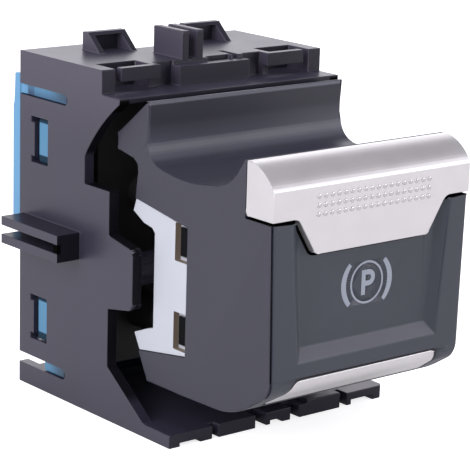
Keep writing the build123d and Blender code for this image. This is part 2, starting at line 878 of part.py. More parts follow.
# Carrier
carrier_points = (
    (tail_y, wing_foot - carrier_gap),
    (tail_y + carrier_nose, notch_high + carrier_nose_rise),
    (web_y + carrier_heel * 2, notch_high + carrier_nose / 2),
    (web_y + carrier_nose, notch_high),
    (web_y, notch_high - carrier_nose),
    (web_y, notch_low),
    (web_y + carrier_heel, notch_low - carrier_nose / 2),
    (tail_y, notch_low - carrier_heel - carrier_nose / 2),
    (tail_y - carrier_heel, carrier_heel_level + carrier_gap),
    (carrier_front + carrier_gap, carrier_low + carrier_gap),
    (carrier_front + carrier_gap, carrier_high - carrier_gap),
)
side_inner = carrier_half - carrier_side
flange_outer = cavity_half - carrier_gap
guide_half = guide_bar / 2
with BuildPart() as carrier:
    for side in (-1, 1):
        span = sorted((side * side_inner, side * carrier_half))
        side_slab(carrier_points, *span)
        pocket = sorted((side * hook_low_x, side * carrier_half))
        for middle in hook_middles:
            box(*pocket, carrier_front, carrier_front + hook_length, middle - hook_height / 2,
                middle + hook_height / 2, Mode.SUBTRACT)
        flange = sorted((side * side_inner, side * flange_outer))
        box(*flange, carrier_front - flange_length, carrier_front + carrier_gap,
            carrier_low + carrier_plate, carrier_high - carrier_plate)
        # Hub arm with its running hole
        arm = sorted((side * (hub_outer - hub_width), side * hub_outer))
        arm_points = (
            (web_y - web_thickness / 2, pivot_level + hub_radius + hub_flare),
            (pivot_y, pivot_level + hub_radius),
            (pivot_y, pivot_level - hub_radius),
            (web_y - web_thickness / 2, pivot_level - hub_radius - hub_flare),
        )
        side_slab(arm_points, *arm)
        rod_x(pivot_y, pivot_level, hub_radius, *arm)
        rod_x(pivot_y, pivot_level, pin_radius + pin_clearance, *arm, Mode.SUBTRACT)
        # Arms that work the plungers
        for level in (lower_pivot_z, upper_pivot_z):
            middle = side * arm_x
            box(middle - arm_width / 2, middle + arm_width / 2, web_y - web_thickness, arm_rear,
                level - arm_height / 2, level + arm_height / 2)
    box(-side_inner, side_inner, web_y - web_thickness, web_y, carrier_low, carrier_high)
    top_plate = (
        (web_y, carrier_high),
        (carrier_front, carrier_high - carrier_gap),
        (carrier_front, carrier_high - carrier_gap - carrier_plate),
        (web_y, carrier_high - carrier_gap - carrier_plate),
    )
    side_slab(top_plate, -side_inner, side_inner)
    bottom_plate = (
        (web_y, carrier_low),
        (web_y, carrier_low + carrier_plate),
        (carrier_front, carrier_low + carrier_gap + carrier_plate),
        (carrier_front, carrier_low + carrier_gap),
    )
    side_slab(bottom_plate, -side_inner, side_inner)
    hole = guide_half + guide_clearance
    box(symbol_x - hole, symbol_x + hole, web_y - web_thickness, web_y, symbol_level - hole,
        symbol_level + hole, Mode.SUBTRACT)
finish(carrier, "carrier")

# Pivot pins
for side, name in ((-1, "pivot_pin_left"), (1, "pivot_pin_right")):
    with BuildPart() as pivot_pin:
        span = sorted((side * (hub_outer - hub_width - pin_overhang), side * (inner_half + pin_seat)))
        rod_x(pivot_y, pivot_level, pin_radius, *span)
    finish(pivot_pin, name)

# Light guide: a broad head behind the symbol, narrowing to a bar through the web
with BuildPart() as light_guide:
    head_front = field_rear + guide_clearance
    head_rear = head_front + guide_head_length
    left, right = symbol_x - guide_head_x, symbol_x + guide_head_x
    box(left, right, head_front, head_rear, symbol_level - guide_head_z, symbol_level + guide_head_z)
    with BuildSketch(Plane.XZ.offset(-head_rear)) as wide_end:
        with Locations((symbol_x, symbol_level)):
            Rectangle(2 * guide_head_x, 2 * guide_head_z)
    with BuildSketch(Plane.XZ.offset(-web_y + web_thickness + guide_bar)) as narrow_end:
        with Locations((symbol_x, symbol_level)):
            Rectangle(guide_bar, guide_bar)
    loft(sections=[wide_end.sketch.face(), narrow_end.sketch.face()])
    box(symbol_x - guide_half, symbol_x + guide_half, web_y - web_thickness - guide_bar, guide_rear,
        symbol_level - guide_half, symbol_level + guide_half)
finish(light_guide, "light_guide")

# Switching block with its four guide tubes
corners = {
    "upper_left": (-arm_x, upper_pivot_z),
    "upper_right": (arm_x, upper_pivot_z),
    "lower_left": (-arm_x, lower_pivot_z),
    "lower_right": (arm_x, lower_pivot_z),
}
tube_rear = board_y - board_gap
socket_z = (shroud_bottom + shroud_top) / 2
columns = pin_count // 2
pin_places = [
    ((column - (columns - 1) / 2) * pin_pitch, socket_z + row * pin_row_gap / 2)
    for row in (-1, 1)
    for column in range(columns)
]
pin_front = board_y - pin_side
pin_rear = flange_rear + pin_reach
half_pin = pin_side / 2
pin_room = half_pin + pin_relief
with BuildPart() as switch_block:
    box(-block_half, block_half, block_front, board_y, block_foot, block_head)
    inner = block_half - block_side
    box(-inner, inner, block_front + block_thickness, board_y, block_foot + block_side,
        block_head - block_side, Mode.SUBTRACT)
    for x, z in corners.values():
        rod_y(x, z, tube_radius, tube_front, tube_rear)
        rod_y(x, z, bore_radius, tube_front + tube_lip, board_y, Mode.SUBTRACT)
        rod_y(x, z, plunger_radius + shaft_clearance, tube_front, board_y, Mode.SUBTRACT)
    opening = light_window / 2
    box(symbol_x - opening, symbol_x + opening, block_front, board_y, symbol_level - opening,
        symbol_level + opening, Mode.SUBTRACT)
    for x, z in pin_places:
        box(x - pin_room, x + pin_room, pin_front - pin_relief, board_y, z - pin_room, z + pin_room,
            Mode.SUBTRACT)
finish(switch_block, "switch_block")

collar_rear = collar_front + collar_length
dome_front = board_y - dome_height
spring_radius = (collar_radius + stem_radius) / 2
for corner, (x, z) in corners.items():
    with BuildPart() as plunger:
        rod_y(x, z, plunger_radius, plunger_tip, collar_front)
        tip = plunger.edges().filter_by(GeomType.CIRCLE).sort_by(Axis.Y)[0]
        fillet(tip, radius=plunger_radius * tip_share)
        rod_y(x, z, collar_radius, collar_front, collar_rear)
        rod_y(x, z, stem_radius, collar_rear, dome_front - stem_gap)
    finish(plunger, f"plunger_{corner}")
    with BuildPart() as spring:
        length = board_y - collar_rear - 2 * (spring_wire + spring_seat)
        with BuildLine() as coil:
            start = collar_rear + spring_wire + spring_seat
            Helix(length / spring_turns, length, spring_radius, center=(x, start, z), direction=(0, 1, 0))
        with BuildSketch(Plane(origin=coil.line @ 0, z_dir=coil.line % 0)):
            Circle(spring_wire)
        sweep(path=coil.line)
    finish(spring, f"spring_{corner}")
    with BuildPart() as contact_dome:
        with BuildSketch(Plane.XY.offset(z)):
            with BuildLine():
                ThreePointArc((x, dome_front), (x + dome_radius * dome_bulge, dome_front + dome_height / 3),
                              (x + dome_radius, board_y))
                Polyline((x + dome_radius, board_y), (x, board_y), (x, dome_front))
            make_face()
        revolve(axis=Axis((x, 0, z), (0, 1, 0)))
    finish(contact_dome, f"contact_dome_{corner}")

# Board, lamp, circuit and terminal pins
with BuildPart() as circuit_board:
    box(-board_half, board_half, board_y, board_rear, board_bottom, board_top)
    for x, z in pin_places:
        box(x - half_pin, x + half_pin, board_y, board_rear, z - half_pin, z + half_pin, Mode.SUBTRACT)
finish(circuit_board, "circuit_board")

with BuildPart() as symbol_led:
    half_led = led_width / 2
    box(symbol_x - half_led, symbol_x + half_led, board_y - led_height, board_y, symbol_level - half_led,
        symbol_level + half_led)
    fillet(symbol_led.faces().sort_by(Axis.Y)[0].edges(), radius=led_height / 3)
finish(symbol_led, "symbol_led")

with BuildPart() as control_chip:
    box(-chip_width / 2, chip_width / 2, board_y - chip_thickness, board_y, chip_level - chip_height / 2,
        chip_level + chip_height / 2)
    chamfer(control_chip.faces().sort_by(Axis.Y)[0].edges(), length=chip_thickness / 4)
finish(control_chip, "control_chip")

for number, (x, z) in enumerate(pin_places, start=1):
    with BuildPart() as terminal_pin:
        box(x - half_pin, x + half_pin, pin_front, pin_rear, z - half_pin, z + half_pin)
        chamfer(terminal_pin.faces().sort_by(Axis.Y)[-1].edges(), length=pin_side / 4)
    finish(terminal_pin, f"terminal_pin_{number}")

# Rear cover
hollow_half = cover_half - cover_wall
flange_half = half_width - flange_inset
flange_high = housing_height - flange_top
with BuildPart() as rear_cover:
    box(-cover_half, cover_half, cover_front, lower_back + cover_wall, cover_low, step_level)
    box(-cover_half, cover_half, cover_front, flange_rear, step_level, cover_high)
    box(-hollow_half, hollow_half, cover_front, lower_back, cover_low + cover_wall,
        cover_high - cover_wall, Mode.SUBTRACT)
    box(-hollow_half, hollow_half, cover_front, upper_back, step_level + cover_wall,
        cover_high - cover_wall, Mode.SUBTRACT)
    for side in (-1, 1):
        ledge = sorted((side * (hollow_half - ledge_width), side * hollow_half))
        box(*ledge, board_rear, lower_back, cover_low + cover_wall, cover_high - cover_wall)
        tongue = sorted((side * cover_half, side * (half_width - tongue_recess)))
        for low in windows:
            front = window_front + tongue_gap
            box(*tongue, front, front + tongue_length, low + tongue_gap, low + window_height - tongue_gap)
        rib = sorted((side * cover_half, side * (half_width - rib_recess)))
        rib_front = housing_depth - slot_length + slot_height / 2
        for middle, rib_rear in zip(slots, (upper_back, lower_back)):
            low = middle - slot_height / 2 + tongue_gap / 2
            box(*rib, rib_front, rib_rear, low, middle + slot_height / 2 - tongue_gap / 2)
    box(-flange_half, flange_half, housing_depth + tongue_gap, flange_rear, step_level, flange_high)
    box(-flange_half, flange_half, flange_rear, flange_rear + flange_step, step_level, flange_step_level)
    # Connector shroud
    shroud_rear = flange_rear + shroud_length
    box(-shroud_half, shroud_half, flange_rear, shroud_rear, shroud_bottom, shroud_top)
    mouth = shroud_half - shroud_wall
    box(-mouth, mouth, flange_rear, shroud_rear, shroud_bottom + shroud_wall, shroud_top - shroud_wall,
        Mode.SUBTRACT)
    for x, z in pin_places:
        box(x - half_pin, x + half_pin, housing_depth, flange_rear, z - half_pin, z + half_pin, Mode.SUBTRACT)
finish(rear_cover, "rear_cover")
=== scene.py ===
"""Electric parking brake switch: finishes, fine detail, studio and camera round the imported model."""
import json
from math import radians

import bmesh
import bpy
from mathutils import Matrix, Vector

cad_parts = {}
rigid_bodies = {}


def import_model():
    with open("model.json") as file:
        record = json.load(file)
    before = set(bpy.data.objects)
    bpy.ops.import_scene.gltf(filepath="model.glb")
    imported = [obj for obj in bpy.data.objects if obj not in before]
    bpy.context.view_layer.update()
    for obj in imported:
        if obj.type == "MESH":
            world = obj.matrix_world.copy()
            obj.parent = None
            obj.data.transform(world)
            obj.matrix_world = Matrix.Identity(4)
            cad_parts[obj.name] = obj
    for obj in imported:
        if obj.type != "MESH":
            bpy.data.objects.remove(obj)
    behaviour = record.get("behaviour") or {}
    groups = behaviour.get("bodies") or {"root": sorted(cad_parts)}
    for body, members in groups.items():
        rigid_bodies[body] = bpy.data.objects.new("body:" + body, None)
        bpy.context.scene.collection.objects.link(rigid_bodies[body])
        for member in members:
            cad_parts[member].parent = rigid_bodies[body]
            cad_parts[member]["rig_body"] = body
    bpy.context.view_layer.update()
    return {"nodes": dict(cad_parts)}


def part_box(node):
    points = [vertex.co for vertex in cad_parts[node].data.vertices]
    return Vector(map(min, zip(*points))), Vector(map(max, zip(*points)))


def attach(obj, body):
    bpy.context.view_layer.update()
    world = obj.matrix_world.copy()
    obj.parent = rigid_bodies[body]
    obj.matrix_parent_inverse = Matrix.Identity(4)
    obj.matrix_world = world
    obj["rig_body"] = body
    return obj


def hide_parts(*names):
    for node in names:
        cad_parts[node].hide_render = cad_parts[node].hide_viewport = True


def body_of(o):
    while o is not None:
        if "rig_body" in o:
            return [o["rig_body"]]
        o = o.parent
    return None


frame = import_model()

nodes = frame["nodes"]
mm = 0.001


def lengths(*values):
    """Lengths in metres, from millimetres."""
    return [value * mm for value in values]


def point(x, y, z):
    """A point in metres, from millimetres."""
    return Vector((x, y, z)) * mm


def grey(level):
    return (level, level, level, 1.0)


# Camera: metres, degrees and the lens in millimetres
camera_place = (-0.22335561, -0.27659201, 0.11797847)
camera_turn = (75.92794, -1.61554, -39.18792)
camera_lens = 160.164
sensor_width = 36.0
nearest_seen = 0.01

# Studio: the room's brightness changes between two sines of the elevation
horizon_end, zenith_start = 0.3, 0.7
horizon_level, zenith_level = 0.95, 0.2
cool_white = (0.965, 0.945, 1.0)
floor_size = 6.0
floor_level, floor_seen_glow, floor_mirrored_glow = 0.75, 0.75, 0.2
lamp_aim = (0.0, -0.01, 0.03)
lamps = {  # place, width and height in metres, power in watts
    "lamp_left": ((-0.60, -0.05, 0.35), 0.5, 0.5, 3.4),
    "lamp_front_right": ((0.53, -0.56, 0.30), 0.7, 0.5, 2.5),
    "lamp_top": ((0.0, -0.05, 0.75), 0.6, 0.6, 2.2),
    "lamp_back_right": ((0.52, 0.60, 0.42), 0.7, 0.45, 1.2),
}

# Moulded finishes: darker and lighter colour, roughness, grain size and grain depth in millimetres
moulded_rows = {
    "housing_black": ((0.026, 0.024, 0.040, 1), (0.038, 0.035, 0.057, 1), 0.34, 0.18, 0.02),
    "paddle_black": ((0.024, 0.024, 0.038, 1), (0.032, 0.032, 0.050, 1), 0.40, 0.16, 0.02),
    "panel_black": ((0.025, 0.030, 0.043, 1), (0.033, 0.040, 0.056, 1), 0.46, 0.14, 0.02),
    "block_black": (grey(0.012), grey(0.018), 0.45, 0.2, 0.02),
    "cover_blue": ((0.052, 0.195, 0.335, 1), (0.078, 0.24, 0.40, 1), 0.34, 0.2, 0.01),
    "carrier_white": ((0.47, 0.495, 0.54, 1), (0.54, 0.565, 0.61, 1), 0.38, 0.2, 0.01),
    "plunger_natural": ((0.66, 0.64, 0.58, 1), (0.74, 0.72, 0.67, 1), 0.35, 0.2, 0.01),
    "dome_rubber": (grey(0.10), grey(0.14), 0.6, 0.2, 0.01),
    "symbol_grey": ((0.27, 0.30, 0.36, 1), (0.33, 0.36, 0.42, 1), 0.3, 0.3, 0.005),
    "guide_clear": ((0.80, 0.83, 0.85, 1), (0.86, 0.88, 0.9, 1), 0.08, 0.5, 0.002),
    "board_green": ((0.012, 0.10, 0.045, 1), (0.02, 0.14, 0.06, 1), 0.3, 0.5, 0.01),
    "led_white": ((0.72, 0.70, 0.62, 1), (0.80, 0.79, 0.72, 1), 0.3, 0.4, 0.005),
    "chip_black": (grey(0.015), grey(0.025), 0.5, 0.1, 0.01),
    "pin_steel": (grey(0.5), grey(0.6), 0.28, 0.1, 0.003),
    "terminal_brass": ((0.66, 0.58, 0.42, 1), (0.74, 0.68, 0.54, 1), 0.25, 0.1, 0.003),
}

# Satin plated finishes: darker and lighter colour, metallic and roughness
satin_rows = {
    "trim_silver": ((0.62, 0.60, 0.608, 1), (0.69, 0.67, 0.678, 1), 0.7, 0.25),
    "dot_silver": ((0.54, 0.52, 0.53, 1), (0.58, 0.56, 0.57, 1), 1.0, 0.12),
}

# Grain of the moulded finishes: flow marks and fine grain, and their part in colour and roughness
flow_size, flow_detail, flow_stretch = 9 * mm, 4.0, (1.0, 1.0, 0.35)
grain_detail, grain_roughness, grain_relief = 3.0, 0.6, 0.35
flow_share, grain_share = 0.7, 0.3
flow_sheen, grain_sheen = 0.12, 0.1

# Grain of the satin finishes: soft clouds and hair-fine lines
cloud_size, cloud_detail, cloud_sheen = 6 * mm, 2.0, 0.05
hair_size, hair_detail, hair_stretch = 0.12 * mm, 3.0, (0.25, 1.0, 1.0)
hair_relief, hair_depth, hair_sheen = 0.2, 0.01 * mm, 0.08

# How far painted shade takes a place to matt black
shade_black, shade_roughness = grey(0.003), 0.9
cut_edge_shade, front_edge_shade = 0.85, 0.5
rail_front_shade, rail_top_shade = 0.75, 0.3
hook_shade, scoop_shade = 0.9, 0.25
window_end_shade, front_end_shade = 0.85, 0.9
# Shares of the painted shade on the cover's top rib, lower down and towards the rear
rib_lower_share, rib_rear_share = 0.6, 0.5  # of the top rib's own tone

# Painted light and shade: the colours that a finish is taken towards in some places
upper_wall_light = (0.062, 0.055, 0.080, 1)
scoop_light = (0.050, 0.054, 0.074, 1)
scoop_floor_light = (0.065, 0.070, 0.090, 1)
scoop_rim_highlight = (0.115, 0.12, 0.145, 1)
panel_slope_light = (0.060, 0.062, 0.086, 1)
flange_light = (0.115, 0.31, 0.52, 1)
deep_rib_shade = (0.020, 0.055, 0.09, 1)
top_rib_shade = (0.012, 0.055, 0.13, 1)
window_wall_shade = (0.20, 0.155, 0.11, 1)

# Share of its direction at which a face starts to count as turned to a side, and at which it does
facing_front = (-0.3, -0.8)
facing_up = (0.3, 0.8)

# Rounding of the mouldings' edges: width, and boxes in which it is a share of that
edge_width = {"housing": 0.18 * mm, "paddle_shell": 0.5 * mm, "face_panel": 0.5 * mm,
              "rear_cover": 0.2 * mm, "carrier": 0.12 * mm, "grip_trim": 0.15 * mm,
              "lower_trim": 0.2 * mm}
edge_segments = 3
paddle_share = 0.5
tongue_edges = (point(-22, -50, 34.5), point(22, -30, 48), 0.2)
scoop_rim_edges = (point(-22, -11, 52), point(22, -7, 60), 1.0)
symbol_low, symbol_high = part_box("park_symbol")
symbol_edges = (symbol_low - point(1, 1, 1), symbol_high + point(1, 1, 1), 0.0)
shortest_edge, shortest_strip_edge = 0.6 * mm, 0.05 * mm
weld_distance = 0.002 * mm
flat_angle, crease_angle = radians(0.6), radians(28)

# Turned shapes: rise and radius of each ring, as shares of the height and of the radius
solder_rings = ((0.3, 0.8), (0.65, 0.6), (1.0, 0.5))
dome_rings = ((0.6, 0.94), (0.88, 0.72), (0.98, 0.4), (1.0, 0.15))
turned_sides, ring_sides = 14, 32
rear_turn = radians(-90)
turned_smoothing, block_smoothing = radians(60), radians(35)

# Blocks: the share of its direction from which a face is the rear one, and the steps of an eased edge
squarely, easing_steps = 0.9, 2

# Raised dots on the grip trim
dot_field = (point(-15, -45, 38), point(15, -40, 46.5))
first_dot, dot_radius, dot_height = point(-11.9, -41.2, 42.45), 0.42 * mm, 0.179 * mm
dot_columns, dot_rows = 18, 3
dot_step, dot_row_step = 1.4 * mm, 1.45 * mm

# Parts on the back of the board; the resistors' places and sizes are in millimetres
board_back = 13.6
first_terminal = point(-6.0, board_back, 37.5)
solder_radius, solder_height = 0.75 * mm, 0.7 * mm
terminal_columns, terminal_rows = 4, 2
terminal_step, terminal_row_step = 4 * mm, 6 * mm
resistor_columns = {"left": -14.4, "right": 11.2}
resistors_in_column, resistor_step, resistor_length = 3, 3.6 * mm, 3.2
resistor_low, resistor_high, resistor_back = 19.0, 20.6, 14.2
end_low, end_high, end_back = 18.95, 20.65, 14.26
end_overhang, end_reach, end_step = 0.1, 0.5, 2.8 * mm
resistor_easing, end_easing = 0.08 * mm, 0.05 * mm

# Rear cover: heights of its middle and of its side windows, and its details
cover_middle, upper_window, lower_window = 30 * mm, 45.25 * mm, 13.35 * mm
key_low, key_high, key_step = point(-8.4, 26.0, 45.4), point(-7.2, 36.4, 46.7), 15.6 * mm
key_tip, key_easing, ramp_easing = (0.7, 0.5), 0.1 * mm, 0.12 * mm
ramp_low, ramp_high = point(-2.6, 31.5, 47.9), point(2.6, 36.0, 49.2)
first_mark, mark_radius = point(-17.0, 18.5, 8.5), 1.6 * mm
mark_line, mark_rise = 0.16 * mm, 0.07 * mm
mark_columns, mark_rows = 3, 2
mark_step, mark_row_step = 17 * mm, 13 * mm

corners = ("upper_left", "upper_right", "lower_left", "lower_right")
terminals = range(1, 9)


class Wire:
    """One output of a node tree, with the arithmetic that finishes need."""

    def __init__(self, graph, socket):
        self.graph = graph
        self.socket = socket

    def maths(self, operation, first, second):
        return self.graph.add("ShaderNodeMath", {"operation": operation}, {0: first, 1: second})

    def __add__(self, other):
        return self.maths("ADD", self, other)

    def __radd__(self, other):
        return self.maths("ADD", other, self)

    def __sub__(self, other):
        return self.maths("SUBTRACT", self, other)

    def __rsub__(self, other):
        return self.maths("SUBTRACT", other, self)

    def __mul__(self, other):
        return self.maths("MULTIPLY", self, other)

    def __rmul__(self, other):
        return self.maths("MULTIPLY", other, self)

    def size(self):
        return self.maths("ABSOLUTE", self, 0.0)

    def fade(self, start, end):
        """0 before one level, 1 past another, and a smooth step between."""
        inputs = {"Value": self, "From Min": start, "From Max": end}
        return self.graph.add("ShaderNodeMapRange", {"interpolation_type": "SMOOTHSTEP"}, inputs)

    def band(self, low, inner_low, inner_high, high):
        """1 between the two inner levels, 0 outside the two outer ones."""
        return self.fade(low, inner_low) * self.fade(high, inner_high)


class Graph:
    """The emptied node tree of a material or of the world."""

    def __init__(self, data):
        data.use_nodes = True
        self.tree = data.node_tree
        self.tree.nodes.clear()

    def add(self, kind, settings=None, inputs=None, output=0):
        """A new node: its settings first, then the values or wires of its inputs."""
        node = self.tree.nodes.new(kind)
        for setting, value in (settings or {}).items():
            setattr(node, setting, value)
        for socket, value in (inputs or {}).items():
            if isinstance(value, Wire):
                self.tree.links.new(value.socket, node.inputs[socket])
            else:
                node.inputs[socket].default_value = value
        return Wire(self, node.outputs[output]) if node.outputs else None

    def blend(self, amount, first, second):
        """A colour between two."""
        return self.add("ShaderNodeMix", {"data_type": "RGBA"}, {0: amount, 6: first, 7: second}, 2)


class Finish(Graph):
    """A material built node by node on the piece's Object coordinates."""

    def __init__(self, slot, **constants):
        self.slot = slot
        self.material = bpy.data.materials.new(slot)
        super().__init__(self.material)
        self.shader = self.tree.nodes.new("ShaderNodeBsdfPrincipled")
        for socket, value in constants.items():
            self.shader.inputs[socket.replace("_", " ")].default_value = value
        self.surface = Wire(self, self.shader.outputs["BSDF"])
        self.result = self.tree.nodes.new("ShaderNodeOutputMaterial")
        self.tree.links.new(self.surface.socket, self.result.inputs["Surface"])
        self.place = self.add("ShaderNodeTexCoord", output="Object")

    def feed(self, socket, wire):
        self.tree.links.new(wire.socket, self.shader.inputs[socket])

    def noise(self, size, detail, roughness=0.5, stretch=(1, 1, 1)):
        """Fractal noise from 0 to 1, in blotches of about a size, stretched along the axes."""
        place = self.place
        if stretch != (1, 1, 1):
            place = self.add("ShaderNodeMapping", {}, {"Vector": place, "Scale": stretch})
        inputs = {"Vector": place, "Scale": 1 / size, "Detail": detail, "Roughness": roughness}
        return self.add("ShaderNodeTexNoise", {}, inputs)

    def axis(self, name):
        """The place along X, Y or Z, in metres."""
        return self.add("ShaderNodeSeparateXYZ", {}, {"Vector": self.place}, name)

    def turn(self, name):
        """How far the surface faces along X, Y or Z, from -1 to 1."""
        facing = self.add("ShaderNodeTexCoord", output="Normal")
        return self.add("ShaderNodeSeparateXYZ", {}, {"Vector": facing}, name)

    def colouring(self, amount, dark, light):
        """The base colour, which varies between two."""
        self.colour = self.blend(amount, dark, light)
        self.feed("Base Color", self.colour)

    def tone(self, amount, colour):
        """Paints light and shade into the base colour: takes it towards another colour where an amount
        rises from 0 to 1.
        """
        self.colouring(amount, self.colour, colour)

    def paint_shade(self, amount):
        """Paints shade: lets the surface fall to a matt black where an amount rises from 0 to 1."""
        black = {"Base Color": shade_black, "Roughness": shade_roughness, "Specular IOR Level": 0.0}
        matt = self.add("ShaderNodeBsdfPrincipled", {}, black)
        mixed = self.add("ShaderNodeMixShader", {}, {0: amount, 1: self.surface, 2: matt})
        self.tree.links.new(mixed.socket, self.result.inputs["Surface"])

    def bump(self, height, strength, depth):
        """Gives the surface a relief from a height."""
        inputs = {"Height": height, "Strength": strength, "Distance": depth}
        self.feed("Normal", self.add("ShaderNodeBump", {}, inputs))


def moulded(name, **constants):
    """Fine eroded grain and faint flow marks, as on moulded plastic and, finer, on metal pins."""
    dark, light, rough, grain, depth = moulded_rows[name]
    finish = Finish(name, **constants)
    flow = finish.noise(flow_size, flow_detail, stretch=flow_stretch)
    fine = finish.noise(grain * mm, grain_detail, grain_roughness)
    finish.colouring(flow * flow_share + fine * grain_share, dark, light)
    finish.feed("Roughness", (flow - 0.5) * flow_sheen + (fine - 0.5) * grain_sheen + rough)
    finish.bump(fine, grain_relief, depth * mm)
    return finish


def satin_silver(name):
    """Satin plated plastic: even brightness and a hair-fine grain."""
    dark, light, metallic, rough = satin_rows[name]
    finish = Finish(name, Metallic=metallic)
    cloud = finish.noise(cloud_size, cloud_detail)
    hairs = finish.noise(hair_size, hair_detail, stretch=hair_stretch)
    finish.colouring(cloud, dark, light)
    finish.feed("Roughness", hairs * hair_sheen + cloud * cloud_sheen + rough)
    finish.bump(hairs, hair_relief, hair_depth)
    return finish


def housing_finish():
    """Black, with painted shade that turns the cut edges round the side openings, the rails and the
    front edges black, and painted light on the upper side walls.
    """
    finish = moulded("housing_black")
    across, along, up = (finish.axis(name) for name in "XYZ")
    sideways, rearwards, upwards = (finish.turn(name) for name in "XYZ")
    side_walls = across.size().fade(*lengths(21.8, 22.2))
    side_openings = along.band(*lengths(-22, -20, 4, 5)) * up.band(*lengths(4, 6, 55, 56))
    cut_edges = (1 - sideways.size()).fade(0.2, 0.6) * side_walls * side_openings
    rails = across.size().fade(*lengths(24.1, 24.3))
    rail_faces = rails * (rearwards.fade(*facing_front) * rail_front_shade
                          + upwards.fade(*facing_up) * rail_top_shade)
    rail_web = (across.size().fade(*lengths(28, 28.2)) * along.fade(*lengths(7.3, 7.1))
                * up.band(*lengths(28, 28.2, 29.6, 29.8)))
    roof_and_floor = up.fade(*lengths(53, 54)) + up.fade(*lengths(5, 4))
    front_edges = rearwards.fade(*facing_front) * roof_and_floor
    # painted shade: the cut edges, the rails, the rail web and the front edges of roof and floor fall
    # to black
    finish.paint_shade(cut_edges * cut_edge_shade + rail_faces + front_edges * front_edge_shade + rail_web)
    # painted light: the side walls grow lighter towards the top
    finish.tone(sideways.size() * up.fade(*lengths(44, 62)), upper_wall_light)
    return finish


def paddle_finish():
    """Black, with a painted light sweep in the finger scoop, a painted highlight on its rim, and
    painted shade on the seat round the grip trim, on the hooks and below the rim.
    """
    finish = moulded("paddle_black")
    across, along, up = (finish.axis(name) for name in "XYZ")
    from_middle, sideways, upwards = across.size(), finish.turn("X").size(), finish.turn("Z")
    not_side = sideways.fade(0.7, 0.4)
    under_trim = upwards.fade(0.2, 0.5) + from_middle.fade(*lengths(20.3, 20.1))
    trim_seat = (under_trim * not_side * along.band(*lengths(-40.9, -40.7, -34, -33))
                 * up.band(*lengths(34.7, 34.9, 47, 48)))
    hooks = (sideways.fade(0.5, 0.8) * from_middle.band(*lengths(20.2, 20.3, 20.8, 20.9))
             * along.band(*lengths(-22, -20, -9, -8)))
    scoop = not_side * up.fade(*lengths(46, 47)) * along.fade(*lengths(-33, -32))
    below_rim = scoop * up.band(*lengths(51, 52.5, 55.1, 55.3))
    # painted light: a lighter sweep in the scoop, lighter still where its floor faces up
    finish.tone(scoop * up.fade(*lengths(51.5, 49)), scoop_light)
    finish.tone(scoop * upwards.fade(0.5, 0.8) * up.fade(*lengths(50.5, 50)), scoop_floor_light)
    # painted highlight along the scoop's rim
    scoop_rim = scoop * up.fade(*lengths(55.2, 55.4)) * along.fade(*lengths(-8.2, -8.6))
    finish.tone(scoop_rim, scoop_rim_highlight)
    # painted shade: the seat round the grip trim, the hooks and the scoop below its rim fall to black
    finish.paint_shade(trim_seat + hooks * hook_shade + below_rim * scoop_shade)
    return finish


def panel_finish():
    """Slate black, with painted shade on the edges under the grip trim and painted light on the slope
    below the sunk field.
    """
    finish = moulded("panel_black")
    upwards, up = finish.turn("Z"), finish.axis("Z")
    # painted shade on the edges under the grip trim
    finish.paint_shade(upwards.fade(0.1, 0.3) * up.fade(*lengths(34.7, 34.9)))
    # painted light on the slope below the sunk field
    finish.tone(upwards.fade(0.3, 0.5) * up.fade(*lengths(30, 28)), panel_slope_light)
    return finish


def cover_finish():
    """Blue, with painted light on the flange, painted shade on the ribs in the slots, and painted
    shade that turns the ends in the side windows and the front end black.
    """
    finish = moulded("cover_blue")
    across, along, up = (finish.axis(name) for name in "XYZ")
    outer_face = across.size().fade(*lengths(23.2, 23.4))

    def window_ends(middle):
        """The upper and lower end of a side window, from the height of its middle."""
        return (up - middle).size().band(*lengths(2.7, 3.0, 4.5, 5))

    # painted light on the flange
    finish.tone(along.fade(*lengths(22, 24)), flange_light)
    # painted shade on the ribs deep in the slots and on the top rib
    slot_ribs = (up - cover_middle).size().fade(*lengths(22, 23))
    finish.tone(slot_ribs * along.fade(*lengths(17, 11)), deep_rib_shade)
    top_rib = outer_face * up.fade(*lengths(51, 52)) * along.fade(*lengths(22.6, 22.4))
    rib_share = (up.fade(*lengths(54.2, 52.6)) * rib_lower_share
                 + along.fade(*lengths(20.4, 20.8)) * rib_rear_share)
    finish.tone(top_rib * rib_share, top_rib_shade)
    # painted shade: the ends of the side windows and the front end fall to black
    tongues = outer_face * along.fade(*lengths(22, 21))
    front_end = along.fade(*lengths(10.5, 9.5))
    both_windows = window_ends(upper_window) + window_ends(lower_window)
    finish.paint_shade(both_windows * tongues * window_end_shade + front_end * front_end_shade)
    return finish


def carrier_finish():
    """White, with painted brown shade on the walls in the small windows."""
    finish = moulded("carrier_white")
    not_side = finish.turn("X").size().fade(0.8, 0.4)
    window_depth = finish.axis("Y").band(*lengths(-22, -21, -16.0, -15.6))
    # painted brown shade on the walls of the small windows
    finish.tone(not_side * window_depth, window_wall_shade)
    return finish


def dress(finish, *names):
    """Gives CAD nodes a finish."""
    for name in names:
        materials = nodes[name].data.materials
        materials.clear()
        materials.append(finish.material)


def fit(piece, node, finish):
    """Gives a piece its finish, and the body that it belongs to."""
    piece.data.materials.clear()
    piece.data.materials.append(finish.material)
    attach(piece, body_of(nodes[node])[0])


def only(piece):
    """Selects one piece and makes it active."""
    bpy.ops.object.select_all(action="DESELECT")
    piece.select_set(True)
    bpy.context.view_layer.objects.active = piece


def inside(spot, corner_low, corner_high):
    return all(low < value < high for low, value, high in zip(corner_low, spot, corner_high))


